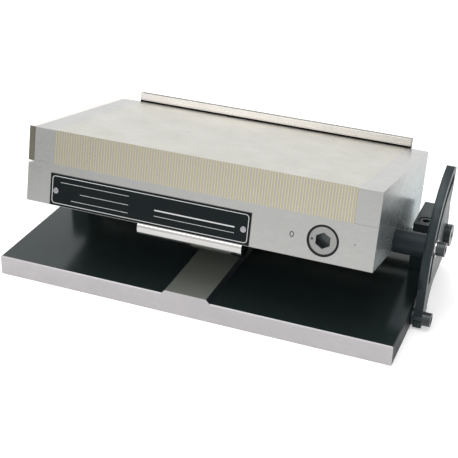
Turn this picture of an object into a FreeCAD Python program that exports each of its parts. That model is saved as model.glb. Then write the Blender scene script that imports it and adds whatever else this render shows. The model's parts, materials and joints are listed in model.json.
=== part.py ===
import FreeCAD, Part
import math
import os
import re
import Sketcher

# Sizes in millimetres and degrees; every one of them is a cell of the sheet.
SIZES = {
    # base plate and its contact strip
    "base_length": 300.0,
    "base_depth": 148.0,
    "base_height": 15.0,
    "base_chamfer": 0.8,
    "strip_top_width": 31.6,
    "strip_foot_width": 37.2,
    "strip_raise": 3.0,
    # sine geometry
    "sine_distance": 100.0,
    "roller_radius": 8.0,
    "zero_gap": 3.0,
    "hinge_from_rear": 21.5,
    "rest_tilt": 12.0,
    # table
    "table_end_gap": 20.5,
    "table_depth": 144.0,
    "table_height": 55.0,
    "split_height": 30.5,
    "end_wall": 14.0,
    "long_wall": 10.0,
    "housing_floor": 7.0,
    # laminated pole pack
    "pole_steel": 1.5,
    "pole_brass": 0.5,
    "pole_end_width": 17.0,
    # rollers
    "front_roller_length": 80.0,
    "front_roller_shift": -6.9,
    "rear_roller_end_gap": 0.3,
    "journal_radius": 6.0,
    "journal_recess": 1.0,
    # hinge blocks
    "block_width": 16.0,
    "block_depth": 38.0,
    "block_height": 37.0,
    "block_screw_inset": 8.5,
    "block_screw_forward": 11.1,
    "bush_radius": 8.0,
    # sector plate
    "plate_gap": 2.0,
    "plate_thickness": 6.0,
    "plate_radius": 72.0,
    "plate_top_angle": 79.2,
    "plate_tip_reach": 6.8,
    "plate_tip_rise": 67.5,
    "plate_neck_reach": 10.0,
    "plate_neck_rise": 54.0,
    "plate_waist_reach": 15.0,
    "plate_waist_rise": 43.0,
    "plate_back_reach": 13.5,
    "plate_back_rise": 29.0,
    "plate_heel_reach": 18.5,
    "plate_heel_rise": 5.0,
    "plate_heel_drop": 0.2,
    "plate_sweep_reach": 43.0,
    "plate_sweep_drop": 3.4,
    "plate_sweep_radius": 20.0,
    "plate_ankle_reach": 61.0,
    "plate_ankle_drop": 20.5,
    "plate_foot_rear": 63.5,
    "plate_foot_front": 76.5,
    "plate_foot_drop": 27.5,
    "slot_radius": 63.5,
    "slot_width": 7.0,
    "slot_start": 4.7,
    "slot_end": 76.5,
    "foot_screw_reach": 72.5,
    "foot_screw_drop": 21.5,
    "foot_screw_grip": 10.0,
    "plate_screw_reach": 16.1,
    "plate_screw_rise": 17.5,
    "plate_screw_radius": 2.5,
    "plate_screw_head_radius": 8.0,
    "plate_screw_head_height": 4.0,
    "plate_screw_engagement": 3.5,
    "plate_screw_end_gap": 0.3,
    "plate_screw_key_depth": 2.0,
    "plate_lug_radius": 7.5,
    # clamp
    "clamp_angle": 13.5,
    "boss_radius": 8.5,
    "boss_thread_depth": 18.0,
    "clamp_screw_end_gap": 1.0,
    "clamp_gap": 0.15,
    # six millimetre cap screws
    "screw_radius": 3.0,
    "screw_head_radius": 5.0,
    "screw_head_height": 6.0,
    "screw_key": 5.0,
    "screw_key_depth": 3.0,
    "counterbore_radius": 5.5,
    "counterbore_depth": 6.4,
    "washer_radius": 6.0,
    "washer_thickness": 1.2,
    # fits
    "stop_screw_radius": 2.5,
    "thread_gap": 0.1,
    "screw_clearance": 0.3,
    "running_clearance": 0.05,
    "sliding_gap": 0.1,
    # name plate
    "label_left_gap": 19.1,
    "label_right_gap": 86.6,
    "label_bottom": 0.4,
    "label_top": 23.8,
    "label_thickness": 0.5,
    # switch
    "switch_from_end": 35.9,
    "switch_height": 14.6,
    "ring_radius": 11.1,
    "disc_radius": 9.5,
    "disc_recess": 0.4,
    "disc_thickness": 4.5,
    "spindle_radius": 6.8,
    "spindle_length": 13.1,
    "switch_key": 10.0,
    "switch_key_depth": 7.0,
    "eccentric_radius": 3.0,
    "eccentric_pin_radius": 2.5,
    "eccentric_pin_length": 5.5,
    "collar_radius": 7.4,
    "collar_gap": 0.3,
    # magnets
    "carriage_left_gap": 5.0,
    "carriage_right_gap": 11.0,
    "carriage_thickness": 4.0,
    "carriage_lift": 0.3,
    "carriage_side_gap": 0.5,
    "fork_width": 27.0,
    "fork_front_gap": 4.0,
    "fork_thickness": 5.5,
    "fork_height": 16.7,
    "fork_slot_play": 0.8,
    "fork_slot_floor": 1.2,
    "magnet_width": 19.0,
    "bar_width": 4.0,
    "magnet_height": 17.0,
    "magnet_front_gap": 22.0,
    "magnet_rear_gap": 14.0,
    # end stop
    "end_stop_thickness": 4.4,
    "end_stop_bottom": 30.0,
    "end_step_depth": 2.2,
    "end_stop_travel": 7.0,
    "end_stop_screw_height": 42.75,
    "end_stop_screw_inset": 36.0,
    # back stop
    "rail_left_gap": 17.9,
    "rail_right_gap": 14.3,
    "rail_thickness": 5.7,
    "rail_bottom": 12.0,
    "rail_top": 62.0,
    "rail_groove_bottom": 55.0,
    "rail_groove_top": 57.0,
    "rail_groove_depth": 1.0,
    "rail_up_travel": 3.0,
    "rail_down_travel": 7.0,
    "rail_screw_height": 20.0,
    "rail_screw_inset": 49.5,
}

DOC = FreeCAD.newDocument("sine_table")
NODES = []

# Longer formulas that several pieces share.
HINGE_Y = "base_depth / 2 - hinge_from_rear"
HINGE_Z = "base_height + strip_raise + zero_gap + roller_radius"
TABLE_LENGTH = "(base_length - 2 * table_end_gap)"
TABLE_END = f"({TABLE_LENGTH} / 2)"
FRONT_ROLLER_V = "((table_depth - sine_distance) / 2)"
HINGE_V = f"({FRONT_ROLLER_V} + sine_distance)"
POLE_PITCH = "(pole_steel + pole_brass)"
POLE_ROOM = f"({TABLE_LENGTH} - end_stop_thickness - 2 * pole_end_width - pole_brass)"
POLE_COUNT = f"floor({POLE_ROOM} / {POLE_PITCH})"
PACK_LENGTH = f"({POLE_COUNT} * {POLE_PITCH} + pole_brass)"
PACK_LEFT = f"(end_stop_thickness / 2 - {PACK_LENGTH} / 2)"
PACK_RIGHT = f"(end_stop_thickness / 2 + {PACK_LENGTH} / 2)"
PLATE_INNER = "(base_length / 2 + plate_gap)"
PLATE_OUTER = "(base_length / 2 + plate_gap + plate_thickness)"
FOOT_Y = f"({HINGE_Y} - foot_screw_reach)"
FOOT_Z = f"({HINGE_Z} - foot_screw_drop)"
PLATE_SCREW_Y = f"({HINGE_Y} - plate_screw_reach)"
PLATE_SCREW_Z = f"({HINGE_Z} + plate_screw_rise)"
CLAMP_V = f"({HINGE_V} - slot_radius * cos(clamp_angle))"
CLAMP_W = "(slot_radius * sin(clamp_angle) - roller_radius)"
SWITCH_U = f"({TABLE_END} - switch_from_end)"
PIN_U = f"({SWITCH_U} - eccentric_radius)"
LABEL_LEFT = f"(label_left_gap - {TABLE_END})"
LABEL_RIGHT = f"({TABLE_END} - label_right_gap)"
RAIL_LEFT = f"(rail_left_gap - {TABLE_END})"
RAIL_RIGHT = f"({TABLE_END} - rail_right_gap)"
CARRIAGE_FLOOR = "(housing_floor + carriage_lift)"
CARRIAGE_LEFT = f"(end_wall + carriage_left_gap - {TABLE_END})"
CARRIAGE_RIGHT = f"({TABLE_END} - end_wall - carriage_right_gap)"
MAGNET_PITCH = "(magnet_width + bar_width)"
MAGNET_COUNT = f"floor(({CARRIAGE_RIGHT} - {CARRIAGE_LEFT} - bar_width) / {MAGNET_PITCH})"

# Rear and lower corners of the sector plate from the tip to the foot, as the signed names of
# how far they lie in front of the hinge axis and above it.
SECTOR_CORNERS = [
    ("-plate_tip_reach", "plate_tip_rise"),
    ("-plate_neck_reach", "plate_neck_rise"),
    ("-plate_waist_reach", "plate_waist_rise"),
    ("-plate_back_reach", "plate_back_rise"),
    ("-plate_back_reach", "plate_heel_rise"),
    ("-plate_heel_reach", "plate_heel_drop"),
    ("-plate_sweep_reach", "-plate_sweep_drop"),
    ("-plate_ankle_reach", "-plate_ankle_drop"),
    ("-plate_foot_rear", "-plate_foot_drop"),
    ("-plate_foot_front", "-plate_foot_drop"),
]


def linked(formula):
    """Write a formula of size names as an expression on the sheet."""
    return re.sub(
        r"[a-z_]+",
        lambda word: "Sheet." + word[0] if word[0] in SIZES else word[0],
        str(formula),
    )


def bind(item, name, formula):
    """Tie one property of a document object to the sheet."""
    item.setExpression(name, linked(formula))


def make_sheet():
    """Fill the sheet with one named cell for each size."""
    sheet = DOC.addObject("Spreadsheet::Sheet", "Sheet")
    for row, (name, value) in enumerate(SIZES.items(), start=1):
        sheet.set(f"A{row}", name)
        sheet.set(f"B{row}", str(value))
        sheet.setAlias(f"B{row}", name)
    DOC.recompute()


def new_body(name, several=False):
    """Start a design body; several allows separate solids in it."""
    body = DOC.addObject("PartDesign::Body", name)
    body.AllowCompound = several
    return body


def keep(item, node):
    """Mark a finished object as one node of the assembly."""
    item.Label = node
    NODES.append(item)
    return item


def on_table(item):
    """Tilt a piece drawn in the level table about the hinge axis."""
    turn = FreeCAD.Rotation(FreeCAD.Vector(1, 0, 0), -SIZES["rest_tilt"])
    item.Placement = FreeCAD.Placement(FreeCAD.Vector(), turn)
    bind(item, "Placement.Rotation.Angle", "-rest_tilt")
    bind(item, "Placement.Base.y",
         f"{HINGE_Y} - {HINGE_V} * cos(rest_tilt) + roller_radius * sin(rest_tilt)")
    bind(item, "Placement.Base.z",
         f"{HINGE_Z} + {HINGE_V} * sin(rest_tilt) + roller_radius * cos(rest_tilt)")


def start_sketch(body, name, role, offset):
    """Open a sketch on an origin plane of the body, moved along its normal."""
    sketch = body.newObject("Sketcher::SketchObject", name)
    plane = [item for item in body.Origin.OriginFeatures if item.Role == role][0]
    sketch.AttachmentSupport = [(plane, "")]
    sketch.MapMode = "FlatFace"
    sign = "-" if role == "XZ_Plane" else ""
    bind(sketch, "AttachmentOffset.Base.z", f"{sign}({offset})")
    return sketch


def place_point(sketch, edge, end, x, y, rough):
    """Hold one sketch point at formulas measured from the sketch origin."""
    for kind, formula, value in (("DistanceX", x, rough.x), ("DistanceY", y, rough.y)):
        index = sketch.addConstraint(Sketcher.Constraint(kind, -1, 1, edge, end, value))
        sketch.setExpression(f"Constraints[{index}]", linked(formula))


def draw_polygon(sketch, points):
    """Draw a closed outline of straight lines through points given as formulas."""
    count = len(points)
    first = sketch.GeometryCount
    rough = [
        FreeCAD.Vector(math.cos(math.tau * k / count), math.sin(math.tau * k / count), 0) * 20
        for k in range(count)
    ]
    for k in range(count):
        sketch.addGeometry(Part.LineSegment(rough[k], rough[(k + 1) % count]), False)
    for k in range(count):
        after = first + (k + 1) % count
        sketch.addConstraint(Sketcher.Constraint("Coincident", first + k, 2, after, 1))
    for k, (x, y) in enumerate(points):
        place_point(sketch, first + k, 1, x, y, rough[k])


def draw_rectangle(sketch, x0, x1, y0, y1):
    """Draw an upright rectangle between four formulas."""
    draw_polygon(sketch, [(x0, y0), (x1, y0), (x1, y1), (x0, y1)])


def draw_circle(sketch, x, y, radius):
    """Draw a circle with its centre and radius given as formulas."""
    centre = FreeCAD.Vector(1, 1, 0)
    edge = sketch.addGeometry(Part.Circle(centre, FreeCAD.Vector(0, 0, 1), 1.0), False)
    place_point(sketch, edge, 3, x, y, centre)
    index = sketch.addConstraint(Sketcher.Constraint("Radius", edge, 1.0))
    sketch.setExpression(f"Constraints[{index}]", linked(radius))


def draw_hexagon(sketch, x, y, across, turn):
    """Draw a hexagon of a width across flats about a centre."""
    corners = [
        (f"{x} + {across} / sqrt(3) * cos({turn + 60 * k})",
         f"{y} + {across} / sqrt(3) * sin({turn + 60 * k})")
        for k in range(6)
    ]
    draw_polygon(sketch, corners)


def extrude(body, kind, name, role, start, length, draw):
    """Pad or pocket a drawn outline from a start plane along the positive axis."""
    sketch = start_sketch(body, f"{name}_sketch", role, start)
    draw(sketch)
    feature = body.newObject(f"PartDesign::{kind}", name)
    feature.Profile = sketch
    feature.Reversed = (role == "XZ_Plane") == (kind == "Pad")
    bind(feature, "Length", length)
    sketch.Visibility = False
    return feature


def pad(body, name, role, start, length, draw):
    """Add material."""
    return extrude(body, "Pad", name, role, start, length, draw)


def pocket(body, name, role, start, length, draw):
    """Remove material."""
    return extrude(body, "Pocket", name, role, start, length, draw)


def rectangle(x0, x1, y0, y1):
    """Return a drawer for one rectangle."""
    return lambda sketch: draw_rectangle(sketch, x0, x1, y0, y1)


def circles(*rounds):
    """Return a drawer for several circles, each (x, y, radius)."""
    def draw(sketch):
        for x, y, radius in rounds:
            draw_circle(sketch, x, y, radius)
    return draw


def box(body, name, x0, x1, y0, y1, z0, z1):
    """Pad a box between six formulas."""
    return pad(body, name, "XY_Plane", z0, f"({z1}) - ({z0})", rectangle(x0, x1, y0, y1))


def box_cut(body, name, x0, x1, y0, y1, z0, z1):
    """Pocket a box between six formulas."""
    return pocket(body, name, "XY_Plane", z0, f"({z1}) - ({z0})", rectangle(x0, x1, y0, y1))


def turned(body, name, points):
    """Revolve a half outline about the body's own z axis."""
    sketch = start_sketch(body, f"{name}_sketch", "XZ_Plane", "0")
    draw_polygon(sketch, points)
    feature = body.newObject("PartDesign::Revolution", name)
    feature.Profile = sketch
    feature.ReferenceAxis = (sketch, ["V_Axis"])
    feature.Angle = 360.0
    sketch.Visibility = False
    return feature


def cap_screw(name, radius, head_radius, head_height, length, key, key_depth):
    """Model one socket screw with its head above the origin."""
    body = new_body(name)
    turned(body, f"{name}_turned", [
        ("0", f"-({length})"),
        (radius, f"-({length})"),
        (radius, "0"),
        (head_radius, "0"),
        (head_radius, head_height),
        ("0", head_height),
    ])
    pocket(body, f"{name}_key", "XY_Plane", f"{head_height} - {key_depth}", key_depth,
           lambda sketch: draw_hexagon(sketch, "0", "0", key, 0))
    return body


def copies(node, source, places, axis=None, angle=0.0):
    """Group placed copies of one source body as a single node."""
    turn = FreeCAD.Rotation(FreeCAD.Vector(*(axis or (0, 0, 1))), angle)
    links = []
    for number, (x, y, z) in enumerate(places, start=1):
        link = DOC.addObject("App::Link", f"{node}_{number}")
        link.LinkedObject = source
        link.Placement = FreeCAD.Placement(FreeCAD.Vector(), turn)
        bind(link, "Placement.Base.x", x)
        bind(link, "Placement.Base.y", y)
        bind(link, "Placement.Base.z", z)
        links.append(link)
    group = DOC.addObject("Part::Compound", f"{node}_group")
    group.Links = links
    return keep(group, node)


def make_base_plate():
    """Base plate with the raised contact strip and the tapped hole of the sector plate."""
    body = new_body("base")
    half = "base_length / 2"
    deep = "base_depth / 2"
    top = "base_height"
    edge = "base_chamfer"
    box(body, "base_slab", f"-{half}", half, f"-{deep}", deep, "0", top)
    for side in ("", "-"):
        corner = [(f"{side}({deep})", f"{top} - {edge}"), (f"{side}({deep})", top),
                  (f"{side}({deep} - {edge})", top)]
        pocket(body, f"base_bevel_y{len(side)}", "YZ_Plane", f"-{half}", "base_length",
               lambda sketch, corner=corner: draw_polygon(sketch, corner))
        corner = [(f"{side}({half})", f"{top} - {edge}"), (f"{side}({half})", top),
                  (f"{side}({half} - {edge})", top)]
        pocket(body, f"base_bevel_x{len(side)}", "XZ_Plane", f"-{deep}", "base_depth",
               lambda sketch, corner=corner: draw_polygon(sketch, corner))
    foot = "strip_foot_width / 2"
    land = "strip_top_width / 2"
    outline = [(f"-{foot}", f"{top} - 2 * {edge}"), (foot, f"{top} - 2 * {edge}"), (foot, top),
               (land, f"{top} + strip_raise"), (f"-{land}", f"{top} + strip_raise"),
               (f"-{foot}", top)]
    pad(body, "base_strip", "XZ_Plane", f"-{deep}", "base_depth",
        lambda sketch: draw_polygon(sketch, outline))
    pocket(body, "base_foot_hole", "YZ_Plane", f"{half} - foot_screw_grip - thread_gap",
           "foot_screw_grip + thread_gap", circles((FOOT_Y, FOOT_Z, "screw_radius + thread_gap")))
    keep(body, "base_plate")


def make_hinge_block(node, side):
    """Hinge block with the bush bore and a counterbored screw hole."""
    body = new_body(f"{node}_body")
    near = "base_length / 2 - block_width"
    start = near if side > 0 else "-base_length / 2"
    sign = "" if side > 0 else "-"

    def draw(sketch):
        draw_rectangle(sketch, f"{HINGE_Y} - block_depth / 2", f"{HINGE_Y} + block_depth / 2",
                       "base_height", "base_height + block_height")
        draw_circle(sketch, HINGE_Y, HINGE_Z, "bush_radius")

    pad(body, f"{node}_form", "YZ_Plane", start, "block_width", draw)
    spot = (f"{sign}(base_length / 2 - block_screw_inset)", f"{HINGE_Y} - block_screw_forward")
    pocket(body, f"{node}_hole", "XY_Plane", "base_height", "block_height",
           circles((*spot, "screw_radius + screw_clearance")))
    pocket(body, f"{node}_counterbore", "XY_Plane",
           "base_height + block_height - counterbore_depth", "counterbore_depth",
           circles((*spot, "counterbore_radius")))
    if side > 0:
        pocket(body, f"{node}_tap", "YZ_Plane", "base_length / 2 - plate_screw_engagement",
               "plate_screw_engagement",
               circles((PLATE_SCREW_Y, PLATE_SCREW_Z, "plate_screw_radius + thread_gap")))
    keep(body, node)


def make_hinge_bushes():
    """Two plain bushes that carry the journals of the rear roller."""
    body = new_body("bushes", several=True)
    ring = circles((HINGE_Y, HINGE_Z, "bush_radius"),
                   (HINGE_Y, HINGE_Z, "journal_radius + running_clearance"))
    pad(body, "bush_right", "YZ_Plane", "base_length / 2 - block_width", "block_width", ring)
    pad(body, "bush_left", "YZ_Plane", "-base_length / 2", "block_width", ring)
    keep(body, "hinge_bushes")


def polar(radius, angle):
    """Formulas of a point at a radius and an angle above the forward direction."""
    return f"-({radius}) * cos({angle})", f"({radius}) * sin({angle})"


def signed(name):
    """Give the size behind a name that may have a minus sign."""
    return -SIZES[name[1:]] if name.startswith("-") else SIZES[name]


def number(x, y):
    """Turn plain numbers into a sketch vector."""
    return FreeCAD.Vector(x, y, 0)


def counterclockwise(centre, radius, first, last):
    """Return a circular arc between two angles in radians."""
    circle = Part.Circle(centre, FreeCAD.Vector(0, 0, 1), radius)
    return Part.ArcOfCircle(circle, first, last)


def arc_between(start, end, radius):
    """Return the counterclockwise arc of a radius between two points."""
    middle = (start + end) * 0.5
    chord = end - start
    rise = math.sqrt(radius ** 2 - chord.Length ** 2 / 4)
    centre = middle + number(-chord.y, chord.x) * (rise / chord.Length)
    angles = [math.atan2(spot.y - centre.y, spot.x - centre.x) % math.tau for spot in (start, end)]
    return counterclockwise(centre, radius, *angles)


def draw_sector(sketch):
    """Draw the outline of the sector plate about the hinge axis."""
    radius = SIZES["plate_radius"]
    top = math.pi - math.radians(SIZES["plate_top_angle"])
    arc_end = number(radius * math.cos(top), radius * math.sin(top))
    names = [("", ""), *SECTOR_CORNERS, ("", "")]
    corners = [arc_end, *[number(signed(x), signed(y)) for x, y in SECTOR_CORNERS],
               number(-radius, 0.0)]
    sweep = names.index(("-plate_sweep_reach", "-plate_sweep_drop"))
    edges = []
    for k in range(len(corners) - 1):
        if k == sweep:
            shape = arc_between(corners[k], corners[k + 1], SIZES["plate_sweep_radius"])
        else:
            shape = Part.LineSegment(corners[k], corners[k + 1])
        edges.append(sketch.addGeometry(shape, False))
    front = counterclockwise(number(0, 0), radius, top, math.pi)
    edges.append(sketch.addGeometry(front, False))
    add = sketch.addConstraint
    for k in range(len(edges) - 2):
        add(Sketcher.Constraint("Coincident", edges[k], 2, edges[k + 1], 1))
    add(Sketcher.Constraint("Coincident", edges[-2], 2, edges[-1], 2))
    add(Sketcher.Constraint("Coincident", edges[-1], 1, edges[0], 1))
    add(Sketcher.Constraint("Coincident", edges[-1], 3, -1, 1))
    for k in range(1, len(corners) - 1):
        place_point(sketch, edges[k], 1, *names[k], corners[k])
    place_point(sketch, edges[-1], 2, "-plate_radius", "0", corners[-1])
    index = add(Sketcher.Constraint("DistanceY", -1, 1, edges[0], 1, arc_end.y))
    sketch.setExpression(f"Constraints[{index}]", linked("plate_radius * sin(plate_top_angle)"))
    index = add(Sketcher.Constraint("Radius", edges[sweep], SIZES["plate_sweep_radius"]))
    sketch.setExpression(f"Constraints[{index}]", linked("plate_sweep_radius"))


def draw_slot(sketch):
    """Draw the curved slot about the hinge axis."""
    half = SIZES["slot_width"] / 2
    middle = SIZES["slot_radius"]
    angles = [math.radians(180 - SIZES[name]) for name in ("slot_end", "slot_start")]
    arc = counterclockwise
    origin = number(0, 0)
    caps = [number(middle * math.cos(a), middle * math.sin(a)) for a in angles]
    outer = sketch.addGeometry(arc(origin, middle + half, angles[0], angles[1]), False)
    inner = sketch.addGeometry(arc(origin, middle - half, angles[0], angles[1]), False)
    high = sketch.addGeometry(arc(caps[0], half, angles[0] + math.pi, angles[0] + math.tau), False)
    low = sketch.addGeometry(arc(caps[1], half, angles[1], angles[1] + math.pi), False)
    add = sketch.addConstraint
    add(Sketcher.Constraint("Coincident", outer, 3, -1, 1))
    add(Sketcher.Constraint("Coincident", inner, 3, -1, 1))
    for edge, radius, name in ((outer, middle + half, "slot_radius + slot_width / 2"),
                               (inner, middle - half, "slot_radius - slot_width / 2")):
        index = add(Sketcher.Constraint("Radius", edge, radius))
        sketch.setExpression(f"Constraints[{index}]", linked(name))
    across, up = polar("slot_radius", "slot_end")[0], polar("slot_radius", "slot_start")[1]
    index = add(Sketcher.Constraint("DistanceX", -1, 1, high, 3, caps[0].x))
    sketch.setExpression(f"Constraints[{index}]", linked(across))
    index = add(Sketcher.Constraint("DistanceY", -1, 1, low, 3, caps[1].y))
    sketch.setExpression(f"Constraints[{index}]", linked(up))
    add(Sketcher.Constraint("Tangent", outer, 2, low, 1))
    add(Sketcher.Constraint("Tangent", low, 2, inner, 2))
    add(Sketcher.Constraint("Tangent", inner, 1, high, 1))
    add(Sketcher.Constraint("Tangent", high, 2, outer, 1))


def centre_on_hinge(sketch):
    """Move a sketch's origin onto the hinge axis."""
    bind(sketch, "AttachmentOffset.Base.x", HINGE_Y)
    bind(sketch, "AttachmentOffset.Base.y", HINGE_Z)


def make_sector_plate():
    """Sector plate with its curved slot, two raised seats and two screw holes."""
    body = new_body("sector")
    outline = pad(body, "sector_form", "YZ_Plane", PLATE_INNER, "plate_thickness", draw_sector)
    centre_on_hinge(outline.Profile[0])
    pad(body, "sector_lug", "YZ_Plane", PLATE_INNER, "plate_thickness",
        circles((PLATE_SCREW_Y, PLATE_SCREW_Z, "plate_lug_radius")))
    slot = pocket(body, "sector_slot", "YZ_Plane", PLATE_INNER, "plate_thickness", draw_slot)
    centre_on_hinge(slot.Profile[0])
    pad(body, "sector_seats", "YZ_Plane", "base_length / 2", "plate_gap",
        circles((FOOT_Y, FOOT_Z, "washer_radius"),
                (PLATE_SCREW_Y, PLATE_SCREW_Z, "plate_lug_radius")))
    pocket(body, "sector_holes", "YZ_Plane", "base_length / 2", "plate_gap + plate_thickness",
           circles((FOOT_Y, FOOT_Z, "screw_radius + screw_clearance"),
                   (PLATE_SCREW_Y, PLATE_SCREW_Z, "plate_screw_radius + screw_clearance")))
    keep(body, "sector_plate")


def make_sector_screws():
    """The two screws that hold the sector plate."""
    length = "plate_thickness + plate_gap + foot_screw_grip"
    source = cap_screw("foot_screw", "screw_radius", "screw_head_radius", "screw_head_height",
                       length, "screw_key", "screw_key_depth")
    copies("sector_foot_screw", source, [(PLATE_OUTER, FOOT_Y, FOOT_Z)], (0, 1, 0), 90)
    length = "plate_thickness + plate_gap + plate_screw_engagement - plate_screw_end_gap"
    source = cap_screw("plate_screw", "plate_screw_radius", "plate_screw_head_radius",
                       "plate_screw_head_height", length, "screw_key", "plate_screw_key_depth")
    copies("sector_block_screw", source, [(PLATE_OUTER, PLATE_SCREW_Y, PLATE_SCREW_Z)],
           (0, 1, 0), 90)


def make_housing():
    """Hollow lower body of the table."""
    body = new_body("shell")
    half = TABLE_END
    box(body, "shell_form", f"-{half}", half, "0", "table_depth", "0", "split_height")
    box_cut(body, "shell_cavity", f"end_wall - {half}", f"{half} - end_wall", "long_wall",
            "table_depth - long_wall", "housing_floor", "split_height")
    box_cut(body, "shell_step", f"-{half}", f"end_stop_thickness - {half}", "0", "table_depth",
            "split_height - end_step_depth", "split_height")
    pocket(body, "shell_switch_bore", "XZ_Plane", "0", "long_wall",
           circles((SWITCH_U, "switch_height", "ring_radius")))
    on_table(keep(body, "housing"))


def make_pole_end(node, left, right):
    """Solid steel end of the pole plate."""
    body = new_body(f"{node}_body")
    box(body, f"{node}_form", left, right, "0", "table_depth", "split_height", "table_height")
    on_table(keep(body, node))


def make_pack(node, first, width, count):
    """Row of equal upright strips of the pole pack."""
    body = new_body(f"{node}_body", several=True)
    strip = box(body, f"{node}_strip", first, f"{first} + {width}", "0", "table_depth",
                "split_height", "table_height")
    row = body.newObject("PartDesign::LinearPattern", f"{node}_row")
    row.Originals = [strip]
    row.Direction = (strip.Profile[0], ["H_Axis"])
    row.Mode = "Spacing"
    bind(row, "Offset", POLE_PITCH)
    bind(row, "Occurrences", count)
    body.Tip = row
    on_table(keep(body, node))


def make_pole_plate():
    """Pole plate of two solid ends and the laminated pack between them."""
    make_pole_end("pole_end_left", f"end_stop_thickness - {TABLE_END}", PACK_LEFT)
    make_pole_end("pole_end_right", PACK_RIGHT, TABLE_END)
    make_pack("pole_laminations", f"{PACK_LEFT} + pole_brass", "pole_steel", POLE_COUNT)
    make_pack("pole_spacers", PACK_LEFT, "pole_brass", f"{POLE_COUNT} + 1")


def make_rollers():
    """Front sine roller and the rear roller that is also the hinge pin."""
    body = new_body("roller_front")
    pad(body, "roller_front_form", "YZ_Plane", "front_roller_shift - front_roller_length / 2",
        "front_roller_length", circles((FRONT_ROLLER_V, "-roller_radius", "roller_radius")))
    on_table(keep(body, "front_roller"))
    body = new_body("roller_rear")
    reach = "(base_length / 2 - block_width - rear_roller_end_gap)"
    pad(body, "roller_rear_form", "YZ_Plane", f"-{reach}", f"2 * {reach}",
        circles((HINGE_V, "-roller_radius", "roller_radius")))
    tip = "(base_length / 2 - journal_recess)"
    pad(body, "roller_rear_journals", "YZ_Plane", f"-{tip}", f"2 * {tip}",
        circles((HINGE_V, "-roller_radius", "journal_radius")))
    on_table(keep(body, "rear_roller"))


def make_nameplate():
    """Blank name plate."""
    body = new_body("label")
    pad(body, "label_form", "XZ_Plane", "-label_thickness", "label_thickness",
        rectangle(LABEL_LEFT, LABEL_RIGHT, "label_bottom", "label_top"))
    on_table(keep(body, "nameplate"))


def make_switch_ring():
    """Flanged bush pressed into the front wall for the switch."""
    body = new_body("ring")
    step = "(disc_recess + disc_thickness + thread_gap)"
    pad(body, "ring_front", "XZ_Plane", "0", step,
        circles((SWITCH_U, "switch_height", "ring_radius"),
                (SWITCH_U, "switch_height", "disc_radius + running_clearance")))
    pad(body, "ring_rear", "XZ_Plane", step, f"long_wall - {step}",
        circles((SWITCH_U, "switch_height", "ring_radius"),
                (SWITCH_U, "switch_height", "spindle_radius + running_clearance")))
    on_table(keep(body, "switch_ring"))


def make_switch_spindle():
    """Switch spindle with its socket, collar and the eccentric pin of the magnets."""
    body = new_body("spindle")
    centre = (SWITCH_U, "switch_height")
    back = "(disc_recess + spindle_length)"
    pad(body, "spindle_shaft", "XZ_Plane", "disc_recess", "spindle_length",
        circles((*centre, "spindle_radius")))
    pad(body, "spindle_disc", "XZ_Plane", "disc_recess", "disc_thickness",
        circles((*centre, "disc_radius")))
    pocket(body, "spindle_socket", "XZ_Plane", "disc_recess", "switch_key_depth",
           lambda sketch: draw_hexagon(sketch, *centre, "switch_key", 30))
    collar = "(long_wall + collar_gap)"
    pad(body, "spindle_collar", "XZ_Plane", collar, f"{back} - {collar}",
        circles((*centre, "collar_radius")))
    pad(body, "spindle_pin", "XZ_Plane", back, "eccentric_pin_length",
        circles((PIN_U, "switch_height", "eccentric_pin_radius")))
    on_table(keep(body, "switch_spindle"))


def make_magnets():
    """Sliding carriage with its magnets and flux bars."""
    body = new_body("carriage")
    top = f"({CARRIAGE_FLOOR} + carriage_thickness)"
    box(body, "carriage_plate", CARRIAGE_LEFT, CARRIAGE_RIGHT, "long_wall + carriage_side_gap",
        "table_depth - long_wall - carriage_side_gap", CARRIAGE_FLOOR, top)
    fork_left = f"({PIN_U} - fork_width / 2)"
    fork_right = f"({PIN_U} + fork_width / 2)"
    fork_front = "(long_wall + fork_front_gap)"
    fork_rear = f"({fork_front} + fork_thickness)"
    box_cut(body, "carriage_notch", f"{fork_left} - 1", f"{CARRIAGE_RIGHT} + 1", "long_wall",
            fork_front, CARRIAGE_FLOOR, top)
    box(body, "carriage_fork", fork_left, fork_right, fork_front, fork_rear,
        CARRIAGE_FLOOR, f"{CARRIAGE_FLOOR} + fork_height")
    play = "(eccentric_pin_radius + fork_slot_play)"
    box_cut(body, "carriage_fork_slot", f"{PIN_U} - {play}", f"{PIN_U} + {play}", fork_front,
            fork_rear, f"{CARRIAGE_FLOOR} + fork_slot_floor", f"{CARRIAGE_FLOOR} + fork_height")
    on_table(keep(body, "magnet_carriage"))
    length = f"({MAGNET_COUNT} * {MAGNET_PITCH} + bar_width)"
    start = f"(({CARRIAGE_LEFT} + {CARRIAGE_RIGHT} - {length}) / 2)"
    make_magnet_row("flux_bars", start, "bar_width", top, f"{MAGNET_COUNT} + 1")
    make_magnet_row("magnet_blocks", f"{start} + bar_width", "magnet_width", top, MAGNET_COUNT)


def make_magnet_row(node, start, width, floor, count):
    """Row of equal blocks standing on the carriage."""
    body = new_body(f"{node}_body", several=True)
    block = box(body, f"{node}_block", start, f"{start} + {width}", "magnet_front_gap",
                "table_depth - magnet_rear_gap", floor, f"{floor} + magnet_height")
    row = body.newObject("PartDesign::LinearPattern", f"{node}_row")
    row.Originals = [block]
    row.Direction = (block.Profile[0], ["H_Axis"])
    row.Mode = "Spacing"
    bind(row, "Offset", MAGNET_PITCH)
    bind(row, "Occurrences", count)
    body.Tip = row
    on_table(keep(body, node))


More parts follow.
